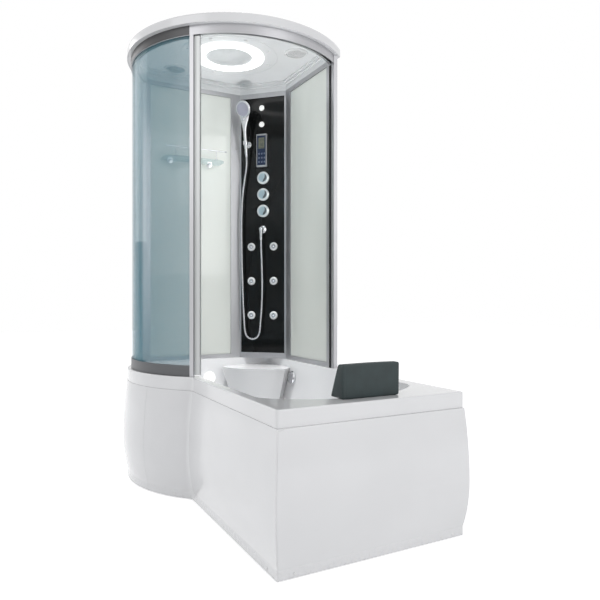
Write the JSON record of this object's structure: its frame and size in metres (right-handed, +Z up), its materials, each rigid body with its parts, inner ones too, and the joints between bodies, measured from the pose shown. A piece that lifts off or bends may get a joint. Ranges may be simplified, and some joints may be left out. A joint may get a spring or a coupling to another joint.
{
  "type": "jetted bath with shower cabin",
  "caption": "Jetted bath with a round corner shower cabin over one end: curved sliding door, function column, roof with rain shower, aprons and pump.",
  "frame": {"origin": "centre of the base of the whole object's box, at floor level under the levelling feet", "axes": "+Z up; +X along the bath from the shower end to the foot end; -Y towards the open front; +Y towards the room's long wall"},
  "size_m": [1.636, 0.972, 2.18],
  "materials": {
    "white_acrylic": "glossy moulded acrylic",
    "white_trim": "glossy moulded plastic",
    "ceiling_acrylic": "glossy moulded acrylic",
    "silver_profile": "satin anodised",
    "dark_profile": "dark anodised",
    "tinted_glass": "blue tinted clear glass",
    "frosted_glass": "white back-coated glass",
    "shelf_clear": "clear glass",
    "black_panel": "polished black",
    "chrome": "polished",
    "brass": "cast and machined",
    "hose_metal": "fine wound metal hose",
    "pale_knob": "bright plated with a pale cap",
    "spray_grey": "lavender grey",
    "lamp_white": "opal",
    "display": "dark blue membrane with a display",
    "headrest_foam": "dark slate skin on foam",
    "rubber_black": "soft seal",
    "frame_steel": "galvanised tube",
    "zinc_steel": "zinc plated",
    "pipe_plastic": "plain pipe",
    "pump_plastic": "filled plastic",
    "motor_paint": "enamelled aluminium"
  },
  "bodies": {
    "root": {"apron_end": "white_acrylic", "apron_front": "white_acrylic", "apron_round": "white_acrylic", "back_wall_frame": "silver_profile", "bath_jets": "chrome", "bath_lamp": "lamp_white", "bath_shell": "white_acrylic", "bottom_rail": "silver_profile", "ceiling": "ceiling_acrylic", "ceiling_fittings": "white_trim", "ceiling_lamp": "lamp_white", "column_frame": "silver_profile", "column_panel": "black_panel", "control_face": "display", "control_housing": "silver_profile", "end_wall_frame": "silver_profile", "fixed_glass": "tinted_glass", "fixed_post": "silver_profile", "frame_seals": "rubber_black", "headrest": "headrest_foam", "hose_outlet": "chrome", "jet_rings": "white_trim", "levelling_feet": "zinc_steel", "mixer_body": "brass", "panel_lamps": "lamp_white", "pump_motor": "motor_paint", "pump_pipes": "pipe_plastic", "pump_volute": "pump_plastic", "rail_cover": "dark_profile", "rain_disc": "chrome", "roof": "white_acrylic", "screw_caps": "white_trim", "shelf_glass": "shelf_clear", "shelf_rail": "chrome", "shower_holder": "chrome", "shower_hose": "hose_metal", "support_frame": "frame_steel", "top_rail": "silver_profile", "wall_glass": "frosted_glass", "wall_profiles": "silver_profile", "waste_overflow": "pipe_plastic"},
    "door": {"door_glass": "tinted_glass", "door_frame": "dark_profile"},
    "door_roller_1": {"door_roller_1": "pump_plastic"},
    "door_roller_2": {"door_roller_2": "pump_plastic"},
    "temperature_knob": {"temperature_knob": "pale_knob"},
    "diverter_knob": {"diverter_knob": "pale_knob"},
    "flow_knob": {"flow_knob": "pale_knob"},
    "hand_shower": {"hand_shower": "chrome", "spray_face": "spray_grey"},
    "overflow_knob": {"overflow_knob": "chrome"},
    "drain_plug": {"drain_plug": "chrome"},
    "pump_impeller": {"pump_impeller": "pump_plastic"},
    "fan_impeller": {"fan_impeller": "pump_plastic"},
    "panel_jet_1": {"panel_jet_1": "chrome"},
    "panel_jet_2": {"panel_jet_2": "chrome"},
    "panel_jet_3": {"panel_jet_3": "chrome"},
    "panel_jet_4": {"panel_jet_4": "chrome"},
    "panel_jet_5": {"panel_jet_5": "chrome"},
    "panel_jet_6": {"panel_jet_6": "chrome"}
  },
  "joints": [
    {"name": "door_swing", "type": "hinge", "parent": "root", "child": "door", "pos_m": [-0.488, 0.098, 1.3], "axis": [0, 0, 1], "range_deg": [0, 78.8]},
    {"name": "roller_1_spin", "type": "hinge", "parent": "door", "child": "door_roller_1", "pos_m": [-0.71317, -0.36572, 2.0813], "axis": [-0.4368, -0.8996, 0], "range_deg": [-3700, 0]},
    {"name": "roller_2_spin", "type": "hinge", "parent": "door", "child": "door_roller_2", "pos_m": [-0.1498, -0.29105, 2.0813], "axis": [0.6561, -0.7547, 0], "range_deg": [-3700, 0]},
    {"name": "temperature_knob_turn", "type": "hinge", "parent": "root", "child": "temperature_knob", "pos_m": [-0.68448, 0.33738, 1.589], "axis": [0.7071, -0.7071, 0], "range_deg": [-100, 100]},
    {"name": "diverter_knob_turn", "type": "hinge", "parent": "root", "child": "diverter_knob", "pos_m": [-0.68448, 0.33738, 1.492], "axis": [0.7071, -0.7071, 0], "range_deg": [0, 270]},
    {"name": "flow_knob_turn", "type": "hinge", "parent": "root", "child": "flow_knob", "pos_m": [-0.68448, 0.33738, 1.396], "axis": [0.7071, -0.7071, 0], "range_deg": [0, 180]},
    {"name": "panel_jet_1_tilt", "type": "hinge", "parent": "root", "child": "panel_jet_1", "pos_m": [-0.74458, 0.29, 1.189], "axis": [0.7071, 0.7071, 0], "range_deg": [-12, 12]},
    {"name": "panel_jet_2_tilt", "type": "hinge", "parent": "root", "child": "panel_jet_2", "pos_m": [-0.647, 0.38758, 1.189], "axis": [0.7071, 0.7071, 0], "range_deg": [-12, 12]},
    {"name": "panel_jet_3_tilt", "type": "hinge", "parent": "root", "child": "panel_jet_3", "pos_m": [-0.74458, 0.29, 0.988], "axis": [0.7071, 0.7071, 0], "range_deg": [-12, 12]},
    {"name": "panel_jet_4_tilt", "type": "hinge", "parent": "root", "child": "panel_jet_4", "pos_m": [-0.647, 0.38758, 0.988], "axis": [0.7071, 0.7071, 0], "range_deg": [-12, 12]},
    {"name": "panel_jet_5_tilt", "type": "hinge", "parent": "root", "child": "panel_jet_5", "pos_m": [-0.74458, 0.29, 0.788], "axis": [0.7071, 0.7071, 0], "range_deg": [-12, 12]},
    {"name": "panel_jet_6_tilt", "type": "hinge", "parent": "root", "child": "panel_jet_6", "pos_m": [-0.647, 0.38758, 0.788], "axis": [0.7071, 0.7071, 0], "range_deg": [-12, 12]},
    {"name": "hand_shower_lift", "type": "slide", "parent": "root", "child": "hand_shower", "axis": [0.1349, -0.1349, 0.9816], "range_m": [0, 0.06]},
    {"name": "overflow_knob_turn", "type": "hinge", "parent": "root", "child": "overflow_knob", "pos_m": [-0.463, 0.41854, 0.448], "axis": [0, -0.9945, 0.1045], "range_deg": [0, 90]},
    {"name": "drain_plug_lift", "type": "slide", "parent": "root", "child": "drain_plug", "axis": [0, 0, 1], "range_m": [0, 0.012]},
    {"name": "pump_spin", "type": "hinge", "parent": "root", "child": "pump_impeller", "pos_m": [0.64, -0.02, 0.11], "axis": [0, 1, 0], "continuous": true},
    {"name": "fan_spin", "type": "hinge", "parent": "root", "child": "fan_impeller", "pos_m": [-0.71496, -0.17494, 2.146], "axis": [0, 0, 1], "continuous": true}
  ],
  "couplings": [
    {"joint": "roller_1_spin", "follows": "door_swing", "ratio": -46.864},
    {"joint": "roller_2_spin", "follows": "door_swing", "ratio": -46.864},
    {"joint": "drain_plug_lift", "follows": "overflow_knob_turn", "m_per_rad": 0.0076}
  ]
}
